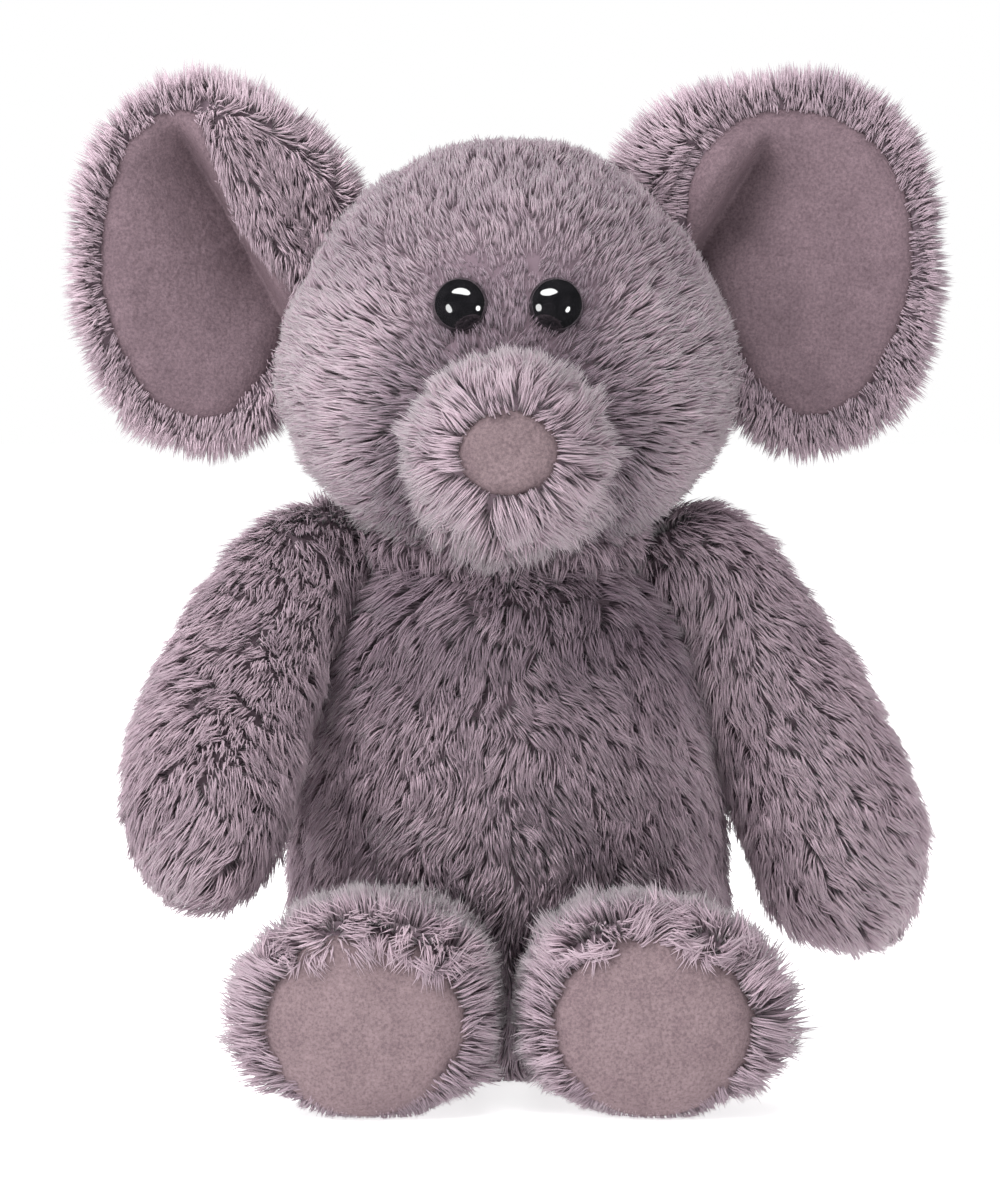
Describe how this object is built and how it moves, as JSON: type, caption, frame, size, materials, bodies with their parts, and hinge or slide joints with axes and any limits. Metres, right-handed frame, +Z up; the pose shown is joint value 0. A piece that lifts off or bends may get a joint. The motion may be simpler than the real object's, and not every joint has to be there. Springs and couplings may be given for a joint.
{
  "type": "stuffed elephant",
  "caption": "Seated soft toy elephant in shaggy grey-lilac plush with velour ears, soles and trunk tip; head, ears, trunk, arms, legs and tail flex at their seams.",
  "frame": {"origin": "on the ground plane under the centre of the torso's flat seat", "axes": "+Z up, the toy faces -Y, the toy's left side is +X"},
  "size_m": [0.17, 0.1556, 0.196],
  "materials": {
    "long_plush": "long-pile plush, pale tips over darker roots",
    "short_velour": "short brushed velour",
    "eye_plastic": "high gloss black",
    "washer_plastic": "matte moulded",
    "stuffing": "loose polyester fibre",
    "pellet_cloth": "plain woven cloth",
    "thread": "spun sewing thread"
  },
  "bodies": {
    "torso": {"torso_skin": "long_plush", "torso_stuffing": "stuffing", "seat_pellet_bag": "pellet_cloth", "back_closing_stitches": "thread"},
    "neck": {"neck_gather": "long_plush"},
    "head": {"head_skin": "long_plush", "head_stuffing": "stuffing", "left_eye": "eye_plastic", "left_eye_washer": "washer_plastic", "right_eye": "eye_plastic", "right_eye_washer": "washer_plastic"},
    "trunk": {"trunk_skin": "long_plush", "trunk_stuffing": "stuffing", "trunk_tip_pad": "short_velour"},
    "tail": {"tail_skin": "long_plush", "tail_tuft": "long_plush"},
    "left_ear": {"left_ear_back": "long_plush", "left_ear_wadding": "stuffing", "left_ear_lining": "short_velour"},
    "left_shoulder": {"left_shoulder_gather": "long_plush"},
    "left_arm": {"left_arm_skin": "long_plush", "left_arm_stuffing": "stuffing", "left_hand_pellets": "pellet_cloth"},
    "left_hip": {"left_hip_gather": "long_plush"},
    "left_leg": {"left_leg_skin": "long_plush", "left_leg_stuffing": "stuffing", "left_foot_pellets": "pellet_cloth", "left_sole_pad": "short_velour"},
    "right_ear": {"right_ear_back": "long_plush", "right_ear_wadding": "stuffing", "right_ear_lining": "short_velour"},
    "right_shoulder": {"right_shoulder_gather": "long_plush"},
    "right_arm": {"right_arm_skin": "long_plush", "right_arm_stuffing": "stuffing", "right_hand_pellets": "pellet_cloth"},
    "right_hip": {"right_hip_gather": "long_plush"},
    "right_leg": {"right_leg_skin": "long_plush", "right_leg_stuffing": "stuffing", "right_foot_pellets": "pellet_cloth", "right_sole_pad": "short_velour"}
  },
  "joints": [
    {"name": "neck_turn", "type": "hinge", "parent": "torso", "child": "neck", "pos_m": [0, 0, 0.101], "axis": [0, 0, 1], "range_deg": [-30, 30], "stiffness_Nm_per_rad": 0.03},
    {"name": "head_nod", "type": "hinge", "parent": "neck", "child": "head", "pos_m": [0, 0, 0.101], "axis": [1, 0, 0], "range_deg": [-12, 5], "stiffness_Nm_per_rad": 0.4},
    {"name": "trunk_lift", "type": "hinge", "parent": "head", "child": "trunk", "pos_m": [0, -0.038, 0.125], "axis": [-1, 0, 0], "range_deg": [-18, 18], "stiffness_Nm_per_rad": 0.02},
    {"name": "tail_lift", "type": "hinge", "parent": "torso", "child": "tail", "pos_m": [0, 0.0413, 0.022], "axis": [1, 0, 0], "range_deg": [-15, 40], "stiffness_Nm_per_rad": 0.002},
    {"name": "left_ear_fold", "type": "hinge", "parent": "head", "child": "left_ear", "pos_m": [0.0402, 0.003, 0.1605], "axis": [0.3827, 0, -0.9239], "range_deg": [-20, 35], "stiffness_Nm_per_rad": 0.01},
    {"name": "left_shoulder_swing", "type": "hinge", "parent": "torso", "child": "left_shoulder", "pos_m": [0.0335, 0, 0.0995], "axis": [-1, 0, 0], "range_deg": [-35, 80], "stiffness_Nm_per_rad": 0.004},
    {"name": "left_arm_raise", "type": "hinge", "parent": "left_shoulder", "child": "left_arm", "pos_m": [0.0335, 0, 0.0995], "axis": [0, -0.9962, 0.0872], "range_deg": [-4, 45], "stiffness_Nm_per_rad": 0.02},
    {"name": "left_hip_swing", "type": "hinge", "parent": "torso", "child": "left_hip", "pos_m": [0.022, -0.031, 0.019], "axis": [1, 0, 0], "range_deg": [-22, 55], "stiffness_Nm_per_rad": 0.02},
    {"name": "left_leg_splay", "type": "hinge", "parent": "left_hip", "child": "left_leg", "pos_m": [0.022, -0.031, 0.019], "axis": [0, 0, 1], "range_deg": [-2, 14], "stiffness_Nm_per_rad": 0.02},
    {"name": "right_ear_fold", "type": "hinge", "parent": "head", "child": "right_ear", "pos_m": [-0.0402, 0.003, 0.1605], "axis": [0.3827, 0, 0.9239], "range_deg": [-20, 35], "stiffness_Nm_per_rad": 0.01},
    {"name": "right_shoulder_swing", "type": "hinge", "parent": "torso", "child": "right_shoulder", "pos_m": [-0.0335, 0, 0.0995], "axis": [-1, 0, 0], "range_deg": [-73, 42], "stiffness_Nm_per_rad": 0.004},
    {"name": "right_arm_raise", "type": "hinge", "parent": "right_shoulder", "child": "right_arm", "pos_m": [-0.0335, 0, 0.0995], "axis": [0, 0.7314, -0.682], "range_deg": [-4, 45], "stiffness_Nm_per_rad": 0.02},
    {"name": "right_hip_swing", "type": "hinge", "parent": "torso", "child": "right_hip", "pos_m": [-0.022, -0.031, 0.019], "axis": [1, 0, 0], "range_deg": [-22, 55], "stiffness_Nm_per_rad": 0.02},
    {"name": "right_leg_splay", "type": "hinge", "parent": "right_hip", "child": "right_leg", "pos_m": [-0.022, -0.031, 0.019], "axis": [0, 0, -1], "range_deg": [-2, 14], "stiffness_Nm_per_rad": 0.02}
  ]
}
